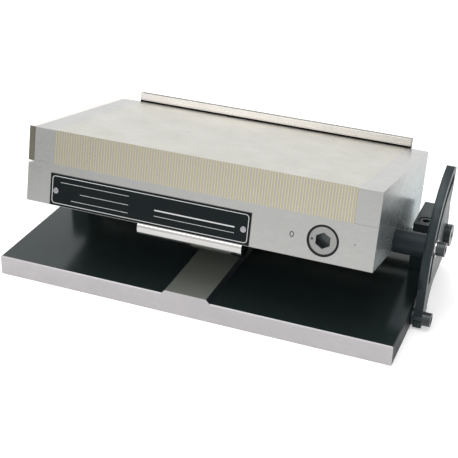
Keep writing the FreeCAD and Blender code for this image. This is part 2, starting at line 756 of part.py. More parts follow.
def make_clamp():
    """Boss, washer and screw that clamp the table to the sector plate."""
    body = new_body("boss")
    centre = (CLAMP_V, CLAMP_W)
    length = f"({PLATE_INNER} - clamp_gap - {TABLE_END})"
    pad(body, "boss_form", "YZ_Plane", TABLE_END, length,
        circles((*centre, "boss_radius")))
    pocket(body, "boss_thread", "YZ_Plane", f"{PLATE_INNER} - clamp_gap - boss_thread_depth",
           "boss_thread_depth", circles((*centre, "screw_radius + running_clearance")))
    on_table(keep(body, "clamp_boss"))
    washer = new_body("clamp_ring")
    seat = f"({PLATE_OUTER} + clamp_gap)"
    pad(washer, "clamp_ring_form", "YZ_Plane", seat, "washer_thickness",
        circles((*centre, "washer_radius"), (*centre, "screw_radius + thread_gap")))
    on_table(keep(washer, "clamp_washer"))
    reach = f"{seat} + washer_thickness - {PLATE_INNER} + boss_thread_depth - clamp_screw_end_gap"
    source = cap_screw("clamp_bolt", "screw_radius", "screw_head_radius", "screw_head_height",
                       reach, "screw_key", "screw_key_depth")
    on_table(copies("clamp_screw", source, [(f"{seat} + washer_thickness", *centre)],
                    (0, 1, 0), 90))


def end_stop_spots():
    """Depth positions of the end stop's slots."""
    return ["end_stop_screw_inset", "table_depth - end_stop_screw_inset"]


def draw_upright_slot(sketch, x, low, high, radius):
    """Draw an upright slot as a rectangle with its corners cut."""
    cut = f"({radius}) * 0.586"
    outline = [
        (f"{x} - ({radius})", f"{low} - ({radius}) + {cut}"),
        (f"{x} - ({radius}) + {cut}", f"{low} - ({radius})"),
        (f"{x} + ({radius}) - {cut}", f"{low} - ({radius})"),
        (f"{x} + ({radius})", f"{low} - ({radius}) + {cut}"),
        (f"{x} + ({radius})", f"{high} + ({radius}) - {cut}"),
        (f"{x} + ({radius}) - {cut}", f"{high} + ({radius})"),
        (f"{x} - ({radius}) + {cut}", f"{high} + ({radius})"),
        (f"{x} - ({radius})", f"{high} + ({radius}) - {cut}"),
    ]
    draw_polygon(sketch, outline)


def make_end_stop():
    """End stop plate that can be raised on its slots."""
    body = new_body("end_plate")
    left = f"-{TABLE_END}"
    thick = "end_stop_thickness - sliding_gap"
    pad(body, "end_plate_form", "YZ_Plane", left, thick,
        rectangle("0", "table_depth", "end_stop_bottom", "table_height"))

    def slots(sketch):
        for v in end_stop_spots():
            draw_upright_slot(sketch, v, "end_stop_screw_height - end_stop_travel",
                              "end_stop_screw_height", "stop_screw_radius + screw_clearance")

    pocket(body, "end_plate_slots", "YZ_Plane", left, thick, slots)
    on_table(keep(body, "end_stop_plate"))


def rail_screw_spots():
    """Side positions of the back stop's slots."""
    return [f"{side}({TABLE_END} - rail_screw_inset)" for side in ("-", "")]


def make_back_stop():
    """Back stop rail that can be raised or lowered on its slots."""
    body = new_body("rail")
    front = "(table_depth + sliding_gap)"

    def slots(sketch):
        for x in rail_screw_spots():
            draw_upright_slot(sketch, x, "rail_screw_height - rail_up_travel",
                              "rail_screw_height + rail_down_travel",
                              "screw_radius + screw_clearance")

    pad(body, "rail_form", "XZ_Plane", front, "rail_thickness",
        rectangle(RAIL_LEFT, RAIL_RIGHT, "rail_bottom", "rail_top"))
    pocket(body, "rail_groove", "XZ_Plane", front, "rail_groove_depth",
           rectangle(RAIL_LEFT, RAIL_RIGHT, "rail_groove_bottom", "rail_groove_top"))
    pocket(body, "rail_slots", "XZ_Plane", front, "rail_thickness", slots)
    on_table(keep(body, "back_stop_rail"))


def write_nodes():
    """Check every object and write one file for each node."""
    for item in DOC.Objects:
        if "Invalid" in item.State or "Error" in item.State:
            raise RuntimeError(f"{item.Name} did not build")
    os.makedirs("parts", exist_ok=True)
    for item in NODES:
        shape = item.Shape
        if shape.isNull() or not shape.isValid() or not shape.Solids:
            raise RuntimeError(f"{item.Label} has no sound shape")
        shape.exportStep(f"parts/{item.Label}.step")
        print(item.Label, len(shape.Solids), round(shape.Volume))


make_sheet()
make_base_plate()
make_hinge_block("hinge_block_right", 1)
make_hinge_block("hinge_block_left", -1)
make_hinge_bushes()
make_sector_plate()
make_sector_screws()
make_housing()
make_pole_plate()
make_rollers()
make_nameplate()
make_switch_ring()
make_switch_spindle()
make_magnets()
make_clamp()
make_end_stop()
make_back_stop()
DOC.recompute()
write_nodes()
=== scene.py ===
"""Dresses the magnetic sine table: finishes, small surface details, studio and camera."""

from __future__ import annotations

import json
import logging
import math
from dataclasses import dataclass
from enum import Enum
from typing import Callable

import bpy
from mathutils import Matrix, Vector

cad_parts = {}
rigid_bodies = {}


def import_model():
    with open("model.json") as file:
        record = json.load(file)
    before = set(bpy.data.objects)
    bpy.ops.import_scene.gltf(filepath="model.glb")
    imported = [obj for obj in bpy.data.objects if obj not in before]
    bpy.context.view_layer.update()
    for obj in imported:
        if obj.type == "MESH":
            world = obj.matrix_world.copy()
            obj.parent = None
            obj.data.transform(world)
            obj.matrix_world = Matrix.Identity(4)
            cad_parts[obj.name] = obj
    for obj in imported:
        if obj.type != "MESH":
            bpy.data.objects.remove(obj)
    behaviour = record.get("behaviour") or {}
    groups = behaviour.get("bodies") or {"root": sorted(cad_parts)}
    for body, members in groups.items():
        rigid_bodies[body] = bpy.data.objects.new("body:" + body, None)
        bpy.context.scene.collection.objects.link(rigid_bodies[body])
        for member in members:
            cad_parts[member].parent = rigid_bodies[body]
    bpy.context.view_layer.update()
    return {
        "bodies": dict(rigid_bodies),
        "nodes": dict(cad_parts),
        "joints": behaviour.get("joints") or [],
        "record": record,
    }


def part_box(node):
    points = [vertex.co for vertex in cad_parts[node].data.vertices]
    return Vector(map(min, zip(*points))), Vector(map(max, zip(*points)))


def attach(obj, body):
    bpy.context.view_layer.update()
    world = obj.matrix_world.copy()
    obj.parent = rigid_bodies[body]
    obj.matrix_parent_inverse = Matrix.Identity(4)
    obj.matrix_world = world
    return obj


LOG = logging.getLogger("sine_table")
MM = 0.001
LENGTH_AXIS = Vector((1.0, 0.0, 0.0))
DEPTH_AXIS = Vector((0.0, 1.0, 0.0))
# Points nearer than this are one point.
MERGE = 1e-6
# Faces that meet at less than the first angle are shaded as one; past the second is an edge.
SMOOTH_ANGLE = math.radians(35)
SHARP_ANGLE = math.radians(50)
# A face looks along an axis when its normal's part along that axis is past this.
FACING = 0.7

Color = tuple[float, float, float]
Place = tuple[float, float, float]

WHITE: Color = (1.0, 1.0, 1.0)


class Grain(Enum):
    """The direction in which a surface was worked."""

    LENGTHWISE = (0.05, 1.0, 1.0)
    CROSSWISE = (1.0, 0.05, 1.0)
    EVEN = (1.0, 1.0, 1.0)


class Body(Enum):
    """The moving bodies that the pieces ride on."""

    BASE = "base"
    TABLE = "table"
    SWITCH = "switch"


class Tree:
    """A node tree of a material or of the world, with short calls for its usual nodes."""

    def __init__(self, tree: bpy.types.NodeTree) -> None:
        """Take over a tree and empty it.

        Args:
            tree: the tree to fill.
        """
        self.tree = tree
        self.tree.nodes.clear()

    def node(self, kind: str, **inputs: object) -> bpy.types.Node:
        """Add a node and set or link its inputs.

        Args:
            kind: the node's type, without the leading ShaderNode.
            inputs: values or output sockets, by input name with _ for a space.

        Returns:
            The new node.
        """
        made = self.tree.nodes.new("ShaderNode" + kind)
        for name, value in inputs.items():
            self.feed(made.inputs[name.replace("_", " ")], value)
        return made

    def feed(self, socket: bpy.types.NodeSocket, value: object) -> None:
        """Link an output to a socket, or set the socket's value.

        Args:
            socket: the input to fill.
            value: an output socket or a plain value.
        """
        if isinstance(value, bpy.types.NodeSocket):
            self.tree.links.new(value, socket)
        elif isinstance(value, tuple) and socket.type == "RGBA":
            socket.default_value = (*value, 1.0)
        else:
            socket.default_value = value

    def place(self) -> bpy.types.NodeSocket:
        """Give plain Object coordinates."""
        return self.node("TexCoord").outputs["Object"]

    def normal(self) -> bpy.types.NodeSocket:
        """Give the surface's own normal."""
        return self.node("NewGeometry").outputs["Normal"]

    def coordinates(self, stretch: tuple[float, float, float]) -> bpy.types.NodeSocket:
        """Give Object coordinates stretched for a pattern.

        Args:
            stretch: the scale along each axis.

        Returns:
            The vector output.
        """
        return self.node("Mapping", Vector=self.place(), Scale=stretch).outputs["Vector"]

    def noise(self, vector: bpy.types.NodeSocket, scale: float, detail: float,
              rough: float = 0.6) -> bpy.types.NodeSocket:
        """Add a noise pattern.

        Args:
            vector: the coordinates it reads.
            scale: repeats to the metre.
            detail: octaves.
            rough: how much the finer octaves count.

        Returns:
            The factor output.
        """
        made = self.node("TexNoise", Vector=vector, Scale=scale, Detail=detail, Roughness=rough)
        return made.outputs["Fac"]

    def spread(self, value: bpy.types.NodeSocket, low: float, high: float,
               start: float = 0.3, stop: float = 0.7) -> bpy.types.NodeSocket:
        """Map a pattern's usual values onto a range.

        Args:
            value: the pattern.
            low: the result at start.
            high: the result at stop.
            start: the pattern's lower value.
            stop: the pattern's upper value.

        Returns:
            The mapped output.
        """
        made = self.node("MapRange", Value=value)
        for name, number in (("From Min", start), ("From Max", stop), ("To Min", low),
                             ("To Max", high)):
            made.inputs[name].default_value = number
        return made.outputs["Result"]

    def math(self, operation: str, first: object, second: object = 0.0) -> bpy.types.NodeSocket:
        """Add a Math node.

        Args:
            operation: its operation.
            first: its first value.
            second: its second value.

        Returns:
            The value output.
        """
        made = self.node("Math")
        made.operation = operation
        self.feed(made.inputs[0], first)
        self.feed(made.inputs[1], second)
        return made.outputs[0]

    def highest(self, values: list[bpy.types.NodeSocket]) -> bpy.types.NodeSocket:
        """Give the greatest of some values.

        Args:
            values: one value or more.

        Returns:
            The value output.
        """
        top = values[0]
        for value in values[1:]:
            top = self.math("MAXIMUM", top, value)
        return top

    def blend(self, factor: object, first: object, second: object) -> bpy.types.NodeSocket:
        """Mix two colours.

        Args:
            factor: how much of the second.
            first: the first colour.
            second: the second colour.

        Returns:
            The colour output.
        """
        # The colour sockets share their names with those of other types, so they go by number.
        made = self.node("Mix")
        made.data_type = "RGBA"
        self.feed(made.inputs["Factor"], factor)
        for socket, value in ((made.inputs[6], first), (made.inputs[7], second)):
            self.feed(socket, value)
        return made.outputs[2]

    def layer(self, factor: object, under: bpy.types.NodeSocket,
              over: bpy.types.NodeSocket) -> bpy.types.NodeSocket:
        """Lay one shader over another.

        Args:
            factor: where and how much the upper one shows.
            under: the lower shader.
            over: the upper shader.

        Returns:
            The shader output.
        """
        made = self.node("MixShader", Fac=factor)
        self.feed(made.inputs[1], under)
        self.feed(made.inputs[2], over)
        return made.outputs[0]

    def along(self, vector: bpy.types.NodeSocket, axis: Vector) -> bpy.types.NodeSocket:
        """Measure a vector along an axis.

        Args:
            vector: the vector output.
            axis: the axis.

        Returns:
            The value output.
        """
        made = self.node("VectorMath")
        made.operation = "DOT_PRODUCT"
        self.feed(made.inputs[0], vector)
        made.inputs[1].default_value = axis
        return made.outputs["Value"]

    def bump(self, height: bpy.types.NodeSocket, strength: float,
             depth: float) -> bpy.types.NodeSocket:
        """Turn a height into a surface normal.

        Args:
            height: the pattern.
            strength: how much of it shows.
            depth: its depth in metres.

        Returns:
            The normal output.
        """
        made = self.node("Bump", Height=height, Strength=strength, Distance=depth)
        return made.outputs["Normal"]

    def seen(self) -> bpy.types.NodeSocket:
        """Tell the rays that show the white background: straight, reflected and through glass.

        Returns:
            The value output, 1 for these rays and 0 for the rest.
        """
        path = self.node("LightPath")
        return self.highest([path.outputs["Is Camera Ray"], path.outputs["Is Glossy Ray"],
                             path.outputs["Is Transmission Ray"]])


class Graph(Tree):
    """A material with its node tree."""

    def __init__(self, name: str) -> None:
        """Start a material with an empty tree.

        Args:
            name: the material's name.
        """
        self.material = bpy.data.materials.new(name)
        self.material.use_nodes = True
        super().__init__(self.material.node_tree)
        self.output = self.node("OutputMaterial")

    def finish(self, shader: bpy.types.NodeSocket) -> bpy.types.Material:
        """Link the shader to the output and return the material."""
        self.feed(self.output.inputs["Surface"], shader)
        return self.material


@dataclass(frozen=True)
class WorkedMetal:
    """A bare metal with the fine lines of its last operation under a slow cloud of tone.

    The lines and the clouds are counted in repeats to the metre. Their shares say how far each
    pulls the colour towards the shade, and their gloss values how each varies the roughness:
    the lines as shares of it, the clouds by a plain amount either way.
    """

    name: str
    color: Color
    shade: Color
    roughness: float
    grain: Grain = Grain.LENGTHWISE
    lines: float = 2600.0
    depth: float = 0.004 * MM
    relief: float = 0.25
    line_detail: float = 3.0
    clouds: float = 38.0
    cloud_detail: float = 4.0
    line_share: float = 0.65
    cloud_share: float = 0.45
    line_gloss: tuple[float, float] = (0.85, 1.2)
    cloud_gloss: float = 0.03

    def shader(self, graph: Graph) -> bpy.types.NodeSocket:
        """Build the metal's shader.

        Args:
            graph: the material's tree.

        Returns:
            The shader output.
        """
        worked_way = graph.coordinates(self.grain.value)
        even = graph.coordinates(Grain.EVEN.value)
        fine = graph.noise(worked_way, self.lines, self.line_detail)
        cloud = graph.noise(even, self.clouds, self.cloud_detail)
        worked = graph.blend(graph.spread(fine, 0.0, self.line_share), self.color, self.shade)
        color = graph.blend(graph.spread(cloud, 0.0, self.cloud_share), worked, self.shade)
        low, high = (self.roughness * share for share in self.line_gloss)
        rough = graph.math("ADD", graph.spread(fine, low, high),
                           graph.spread(cloud, -self.cloud_gloss, self.cloud_gloss))
        made = graph.node("BsdfPrincipled", Base_Color=color, Roughness=rough, Metallic=1.0,
                          Normal=graph.bump(fine, self.relief, self.depth))
        return made.outputs["BSDF"]

    def build(self) -> bpy.types.Material:
        """Make the material."""
        graph = Graph(self.name)
        return graph.finish(self.shader(graph))


@dataclass(frozen=True)
class DarkCoat:
    """A blackened or enamelled surface with a faint mottle, whose gloss is a little bluish.

    The specks and the clouds are counted in repeats to the metre. The share says how far they
    lift the colour towards the light one, and the gloss values say how they vary the
    roughness: the clouds as shares of it, the specks by a plain amount either way.
    """

    name: str
    color: Color
    light: Color
    roughness: float
    specular: float = 0.5
    metallic: float = 0.0
    specks: float = 2520.0
    speck_detail: float = 2.0
    clouds: float = 50.4
    cloud_detail: float = 4.0
    share: float = 0.5
    depth: float = 0.006 * MM
    relief: float = 0.2
    cloud_gloss: tuple[float, float] = (0.8, 1.2)
    speck_gloss: float = 0.02
    tint: Color = (0.85, 0.98, 1.0)

    def shader(self, graph: Graph) -> bpy.types.NodeSocket:
        """Build the coat's shader.

        Args:
            graph: the material's tree.

        Returns:
            The shader output.
        """
        even = graph.coordinates(Grain.EVEN.value)
        fine = graph.noise(even, self.specks, self.speck_detail)
        cloud = graph.noise(even, self.clouds, self.cloud_detail)
        speck = graph.blend(graph.spread(fine, 0.0, self.share), self.color, self.light)
        color = graph.blend(graph.spread(cloud, 0.0, self.share), self.color, speck)
        low, high = (self.roughness * share for share in self.cloud_gloss)
        rough = graph.math("ADD", graph.spread(cloud, low, high),
                           graph.spread(fine, -self.speck_gloss, self.speck_gloss))
        made = graph.node("BsdfPrincipled", Base_Color=color, Roughness=rough,
                          Metallic=self.metallic, Specular_IOR_Level=self.specular,
                          Specular_Tint=self.tint,
                          Normal=graph.bump(fine, self.relief, self.depth))
        return made.outputs["BSDF"]

    def build(self) -> bpy.types.Material:
        """Make the material."""
        graph = Graph(self.name)
        return graph.finish(self.shader(graph))


BRIGHT = WorkedMetal("bright_steel", (0.56, 0.55, 0.54), (0.47, 0.46, 0.45), 0.12,
                     Grain.CROSSWISE, 1800.0)
RIVET_STEEL = WorkedMetal("rivet_steel", (0.36, 0.35, 0.37), (0.27, 0.26, 0.28), 0.30,
                          Grain.EVEN, 1500.0)
PLAIN = WorkedMetal("milled_steel", (0.42, 0.41, 0.40), (0.30, 0.30, 0.29), 0.42)
BRONZE = WorkedMetal("bush_bronze", (0.62, 0.42, 0.20), (0.45, 0.30, 0.15), 0.30)
BLACKENED = DarkCoat("blackened_steel", (0.010, 0.016, 0.018), (0.022, 0.033, 0.036), 0.36, 0.36)
BOSS_BLACK = DarkCoat("boss_black", (0.020, 0.026, 0.030), (0.028, 0.035, 0.039), 0.40, 0.15)
RING_BLACK = DarkCoat("ring_black", (0.008, 0.009, 0.009), (0.018, 0.020, 0.020), 0.45, 0.2)
OXIDE = DarkCoat("oxide_screw", (0.016, 0.016, 0.017), (0.05, 0.05, 0.05), 0.30, 0.6)
ENAMEL = DarkCoat("label_enamel", (0.004, 0.006, 0.007), (0.009, 0.011, 0.012), 0.30, 0.14)
LABEL_WHITE = DarkCoat("label_white", (0.72, 0.73, 0.72), (0.58, 0.59, 0.58), 0.45, 0.3)
ENGRAVING = DarkCoat("engraving", (0.05, 0.05, 0.05), (0.12, 0.12, 0.12), 0.6, 0.3)
CERAMIC = DarkCoat("ceramic_magnet", (0.06, 0.06, 0.065), (0.12, 0.12, 0.125), 0.7, 0.3)


@dataclass(frozen=True)
class BaseFinish:
    """The base plate: black top and ends, bare ground front and rear, dull contact strip.

    The bare faces take in the chamfer (edge) under the black top, but not beside the strip,
    which stands up by strip_raise. The skin is how near to a face a point counts as on it.
    """

    name: str = "base_plate_finish"
    black: DarkCoat = DarkCoat("base_black", (0.013, 0.020, 0.020), (0.020, 0.029, 0.028), 0.17,
                               0.40)
    end: DarkCoat = DarkCoat("base_end", (0.007, 0.009, 0.012), (0.018, 0.021, 0.026), 0.5, 0.25)
    bare: WorkedMetal = WorkedMetal("base_bare", (0.44, 0.424, 0.434), (0.37, 0.357, 0.367), 0.34)
    strip: DarkCoat = DarkCoat("base_strip", (0.15, 0.16, 0.14), (0.20, 0.21, 0.18), 0.34, 0.8)
    strip_raise: float = 3.0 * MM
    skin: float = 0.05 * MM
    edge: float = 0.8 * MM
    end_facing: float = 0.6

    def build(self) -> bpy.types.Material:
        """Make the material from the base plate's own size.

        Returns:
            The material with its four zones.
        """
        low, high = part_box("base_plate")
        reach = (high.y - low.y) / 2
        graph = Graph(self.name)
        place = graph.node("SeparateXYZ", Vector=graph.place())
        depth = graph.math("ABSOLUTE", place.outputs["Y"])
        on_strip = graph.math("GREATER_THAN", place.outputs["Z"], high.z - self.skin)
        on_face = graph.math("GREATER_THAN", depth, reach - self.skin)
        near_face = graph.math("GREATER_THAN", depth, reach - self.edge - self.skin)
        under_top = graph.math("LESS_THAN", place.outputs["Z"],
                               high.z - self.strip_raise - self.skin)
        bare = graph.highest([on_face, graph.math("MULTIPLY", near_face, under_top)])
        sideways = graph.math("ABSOLUTE", graph.along(graph.normal(), LENGTH_AXIS))
        coated = graph.layer(graph.math("GREATER_THAN", sideways, self.end_facing),
                             self.black.shader(graph), self.end.shader(graph))
        inner = graph.layer(on_strip, coated, self.strip.shader(graph))
        return graph.finish(graph.layer(bare, inner, self.bare.shader(graph)))


@dataclass(frozen=True)
class TablePlace:
    """Where the tilted table stands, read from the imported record.

    Pieces of the table are modelled level, with the table's front lower edge on the X axis;
    there the hinge lies hinge_depth behind it and hinge_drop below it.
    """

    tilt: float
    hinge: Vector
    hinge_depth: float = 122.0 * MM
    hinge_drop: float = 8.0 * MM

    @staticmethod
    def read(frame: dict) -> "TablePlace":
        """Read the tilt and the hinge.


        Returns:
            The table's place.
        """
        mounts = {mount["name"]: mount for mount in frame["record"]["mounts"]}
        normal = mounts["work_face"]["axis"]
        joint = next(j for j in frame["joints"] if j["name"] == "table_tilt")
        return TablePlace(math.atan2(normal[1], normal[2]), Vector(joint["pos_m"]))

    def up(self) -> Vector:
        """Give the direction away from the table's face."""
        return Vector((0.0, math.sin(self.tilt), math.cos(self.tilt)))

    def back(self) -> Vector:
        """Give the direction from the table's front to its back."""
        return Vector((0.0, math.cos(self.tilt), -math.sin(self.tilt)))

    def level(self, height: float) -> float:
        """Give how far along up() a height above the table's underside lies.

        Args:
            height: the height in the level table.

        Returns:
            The distance from the frame's origin along up().
        """
        return self.hinge.dot(self.up()) + self.hinge_drop + height

    def matrix(self) -> Matrix:
        """Give the turn and shift from the level table to its place at rest.

        Returns:
            The matrix.
        """
        shift = Matrix.Translation((0.0, -self.hinge_depth, self.hinge_drop))
        turn = Matrix.Rotation(-self.tilt, 4, "X")
        return Matrix.Translation(self.hinge) @ turn @ shift


@dataclass(frozen=True)
class SwitchFinish:
    """The switch spindle: a bright face, and a dark socket and shaft behind it."""

    place: TablePlace
    face: WorkedMetal = WorkedMetal("switch_face", (0.32, 0.32, 0.315), (0.25, 0.25, 0.245), 0.32,
                                    Grain.EVEN, 1500.0)
    inside: DarkCoat = DarkCoat("switch_inside", (0.020, 0.020, 0.021), (0.050, 0.050, 0.050),
                                0.30, 0.9)
    face_depth: float = 0.6 * MM

    def build(self) -> bpy.types.Material:
        """Make the material with the split just behind the face.

        Returns:
            The material.
        """
        graph = Graph("switch_finish")
        back = self.place.back()
        front = self.place.hinge.dot(back) - self.place.hinge_depth
        deeper = graph.math("GREATER_THAN", graph.along(graph.place(), back),
                            front + self.face_depth)
        return graph.finish(graph.layer(deeper, self.face.shader(graph),
                                        self.inside.shader(graph)))


@dataclass(frozen=True)
class HousingFinish:
    """The ground body of the table, with a finer right end painted darker downwards, a painted
    reflection of the dark parts below it.

    The end is darkest up to painted_dark_below and lightest from painted_light_above, both heights
    above the table's underside.
    """

    place: TablePlace
    side: WorkedMetal = WorkedMetal("ground_side", (0.415, 0.413, 0.403), (0.35, 0.348, 0.34), 0.30)
    end: WorkedMetal = WorkedMetal("ground_end", (0.34, 0.35, 0.345), (0.28, 0.29, 0.285), 0.28)
    # Painted reflection: the darker copy of the end that its lower part takes, for the dark parts
    # below that it mirrors.
    painted_reflection_end: DarkCoat = DarkCoat("ground_end_painted_reflection", (0.24, 0.25, 0.25), (0.31, 0.32, 0.32), 0.24,
                                 0.8, 0.5)
    painted_dark_below: float = 20.0 * MM
    painted_light_above: float = 50.0 * MM

    def build(self) -> bpy.types.Material:
        """Make the material.

        Returns:
            The material with its sides and its right end.
        """
        graph = Graph("housing_finish")
        level = graph.along(graph.place(), self.place.up())
        # Painted reflection: the end fades from its dark copy below to its own colour above.
        painted_reflection_fade = graph.spread(level, 0.0, 1.0, self.place.level(self.painted_dark_below),
                            self.place.level(self.painted_light_above))
        end = graph.layer(painted_reflection_fade, self.painted_reflection_end.shader(graph), self.end.shader(graph))
        to_right = graph.along(graph.normal(), LENGTH_AXIS)
        return graph.finish(graph.layer(graph.math("GREATER_THAN", to_right, FACING),
                                        self.side.shader(graph), end))


POLE_STEEL = (WorkedMetal("pole_steel", (0.405, 0.392, 0.368), (0.345, 0.334, 0.314), 0.32),
              WorkedMetal("pole_steel_face", (0.41, 0.415, 0.41), (0.35, 0.355, 0.35), 0.32))
POLE_BRASS = (WorkedMetal("pole_brass", (0.63, 0.54, 0.27), (0.55, 0.47, 0.23), 0.32),
              WorkedMetal("pole_brass_face", (0.60, 0.56, 0.38), (0.52, 0.48, 0.32), 0.32))


@dataclass(frozen=True)
class PoleFinish:
    """The strips of the pole pack, whose ground work face is greyer than their sides."""

    name: str
    place: TablePlace
    side: WorkedMetal
    face: WorkedMetal

    def build(self) -> bpy.types.Material:
        """Make the material.

        Returns:
            The material with its sides and its work face.
        """
        graph = Graph(self.name)
        upward = graph.along(graph.normal(), self.place.up())
        return graph.finish(graph.layer(graph.math("GREATER_THAN", upward, FACING),
                                        self.side.shader(graph), self.face.shader(graph)))


# Two distances along an axis, in metres, that lie past every piece.
NO_GROOVE = (1.0, 2.0)


@dataclass(frozen=True)
class StopFinish:
    """A ground stop whose narrow edges are painted darker as shade, with its groove painted
    near-black as shade if it has one.

    The edges are the faces that look along one of edge_axes. The groove lies between two
    distances along groove_axis; NO_GROOVE is out of reach.
    """

    name: str
    edge_axes: tuple[Vector, ...]
    groove_axis: Vector
    groove: tuple[float, float]
    ground: WorkedMetal = WorkedMetal("stop_ground", (0.75, 0.715, 0.695), (0.66, 0.63, 0.61), 0.28)
    # Painted shade: the darker copy of the ground steel that the narrow edges take.
    edge: WorkedMetal = WorkedMetal("stop_edge_painted_shade", (0.19, 0.185, 0.145), (0.12, 0.115, 0.09), 0.40)
    # Painted shade: the near-black coat that the groove takes.
    dark: DarkCoat = DarkCoat("stop_groove_painted_shade", (0.004, 0.004, 0.004), (0.01, 0.01, 0.01), 0.6, 0.1)

    def build(self) -> bpy.types.Material:
        """Make the material.

        Returns:
            The material with its ground faces, edges and groove.
        """
        graph = Graph(self.name)
        normal = graph.normal()
        turned = graph.highest([graph.math("ABSOLUTE", graph.along(normal, axis))
                                for axis in self.edge_axes])
        # Painted shade: faces that look along an edge axis take the darker copy.
        outer = graph.layer(graph.math("GREATER_THAN", turned, FACING),
                            self.ground.shader(graph), self.edge.shader(graph))
        # Painted shade: the groove's faces take the near-black coat.
        level = graph.along(graph.place(), self.groove_axis)
        low, high = self.groove
        in_groove = graph.math("MULTIPLY", graph.math("GREATER_THAN", level, low),
                               graph.math("LESS_THAN", level, high))
        return graph.finish(graph.layer(in_groove, outer, self.dark.shader(graph)))


def deselect() -> None:
    """Leave nothing selected."""
    bpy.ops.object.select_all(action="DESELECT")


def name_piece(name: str) -> bpy.types.Object:
    """Name the active object and its mesh.

    Args:
        name: the piece's name.

    Returns:
        The object.
    """
    piece = bpy.context.object
    piece.name = name
    piece.data.name = name
    return piece


def settle(piece: bpy.types.Object, matrix: Matrix) -> None:
    """Move a piece by a matrix and put its place into its mesh.

    Args:
        piece: the piece.
        matrix: the move, on top of where it is.
    """
    bpy.context.view_layer.update()
    piece.matrix_world = matrix @ piece.matrix_world
    deselect()
    piece.select_set(True)
    bpy.context.view_layer.objects.active = piece
    bpy.ops.object.transform_apply(location=True, rotation=True, scale=True)


def join(pieces: list[bpy.types.Object], name: str) -> bpy.types.Object:
    """Join separate meshes into one piece.

    Args:
        pieces: the meshes.
        name: the joined piece's name.

    Returns:
        The piece.
    """
    deselect()
    for piece in pieces:
        piece.select_set(True)
    bpy.context.view_layer.objects.active = pieces[0]
    bpy.ops.object.join()
    return name_piece(name)


def outline(line: float, height: float) -> None:
    """Turn the active flat face into a raised line along its rim, towards the front.

    Args:
        line: the line's width.
        height: how far it stands out.
    """
    bpy.ops.object.mode_set(mode="EDIT")
    bpy.ops.mesh.select_all(action="SELECT")
    bpy.ops.mesh.inset(thickness=line)
    bpy.ops.mesh.delete(type="FACE")
    bpy.ops.mesh.select_all(action="SELECT")
    bpy.ops.mesh.extrude_region_move(TRANSFORM_OT_translate={"value": (0.0, -height, 0.0)})
    bpy.ops.mesh.select_all(action="SELECT")
    bpy.ops.mesh.normals_make_consistent(inside=False)
    bpy.ops.object.mode_set(mode="OBJECT")


def soften(node: bpy.types.Object, width: float, segments: int = 2) -> None:
    """Break a carried-over node's sharp edges with a small rounding.

    Args:
        node: the CAD node.
        width: the rounding in metres.
        segments: its steps.
    """
    weld = node.modifiers.new("weld", "WELD")
    weld.merge_threshold = MERGE
    bevel = node.modifiers.new("edges", "BEVEL")
    bevel.width = width
    bevel.segments = segments
    bevel.limit_method = "ANGLE"
    bevel.angle_limit = SMOOTH_ANGLE
    bevel.harden_normals = True


def dress(nodes: dict[str, bpy.types.Object], names: list[str],
          material: bpy.types.Material) -> None:
    """Give carried-over nodes one material.

    Args:
        nodes: every CAD node by name.
        names: the nodes to dress.
        material: the finish.
    """
    for name in names:
        slots = nodes[name].data.materials
        slots.clear()
        slots.append(material)
        LOG.info("dressed %s in %s", name, material.name)


@dataclass
class BaseAssembly:
    """The base plate with its hinge blocks and the sector plate."""

    nodes: dict[str, bpy.types.Object]
    block_edge: float = 0.6 * MM
    sector_edge: float = 0.4 * MM

    def build(self) -> None:
        """Dress every node of the base."""
        dress(self.nodes, ["base_plate"], BaseFinish().build())
        black = BLACKENED.build()
        dress(self.nodes, ["hinge_block_left", "hinge_block_right", "sector_plate"], black)
        dress(self.nodes, ["hinge_bushes"], BRONZE.build())
        dress(self.nodes, ["sector_foot_screw", "sector_block_screw"], OXIDE.build())
        for name in ("hinge_block_left", "hinge_block_right"):
            soften(self.nodes[name], self.block_edge)
        soften(self.nodes["sector_plate"], self.sector_edge)


@dataclass
class Table:
    """The tilting magnetic table."""

    nodes: dict[str, bpy.types.Object]
    place: TablePlace
    body_edge: float = 0.3 * MM
    groove_low: float = 54.8 * MM
    groove_high: float = 56.2 * MM

    def build(self) -> None:
        """Dress every node of the table, its magnets and its stops."""
        ground = HousingFinish(self.place).build()
        dress(self.nodes, ["housing", "pole_end_left", "pole_end_right"], ground)
        # The end stop's front and rear narrow faces are painted darker as shade.
        dress(self.nodes, ["end_stop_plate"],
              StopFinish("end_stop_finish", (DEPTH_AXIS,), LENGTH_AXIS, NO_GROOVE).build())
        up = self.place.up()
        # The band where the rail's groove is painted near-black as shade.
        groove = (self.place.level(self.groove_low), self.place.level(self.groove_high))
        dress(self.nodes, ["back_stop_rail"],
              StopFinish("back_stop_finish", (up, LENGTH_AXIS), up, groove).build())
        dress(self.nodes, ["pole_laminations"],
              PoleFinish("pole_steel_finish", self.place, *POLE_STEEL).build())
        dress(self.nodes, ["pole_spacers"],
              PoleFinish("pole_brass_finish", self.place, *POLE_BRASS).build())
        bright = BRIGHT.build()
        dress(self.nodes, ["front_roller", "rear_roller", "clamp_washer"], bright)
        dress(self.nodes, ["switch_ring"], RING_BLACK.build())
        dress(self.nodes, ["clamp_screw"], OXIDE.build())
        dress(self.nodes, ["switch_spindle"], SwitchFinish(self.place).build())
        dress(self.nodes, ["clamp_boss"], BOSS_BLACK.build())
        dress(self.nodes, ["nameplate"], ENAMEL.build())
        dress(self.nodes, ["magnet_carriage", "flux_bars"], PLAIN.build())
        dress(self.nodes, ["magnet_blocks"], CERAMIC.build())
        for name in ("housing", "pole_end_left", "pole_end_right", "back_stop_rail"):
            soften(self.nodes[name], self.body_edge)


@dataclass(frozen=True)
class ScrewSize:
    """The sizes of one kind of socket screw."""

    head: float
    height: float
    shank: float
    length: float
    key: float
    key_depth: float
    edge: float = 0.35 * MM


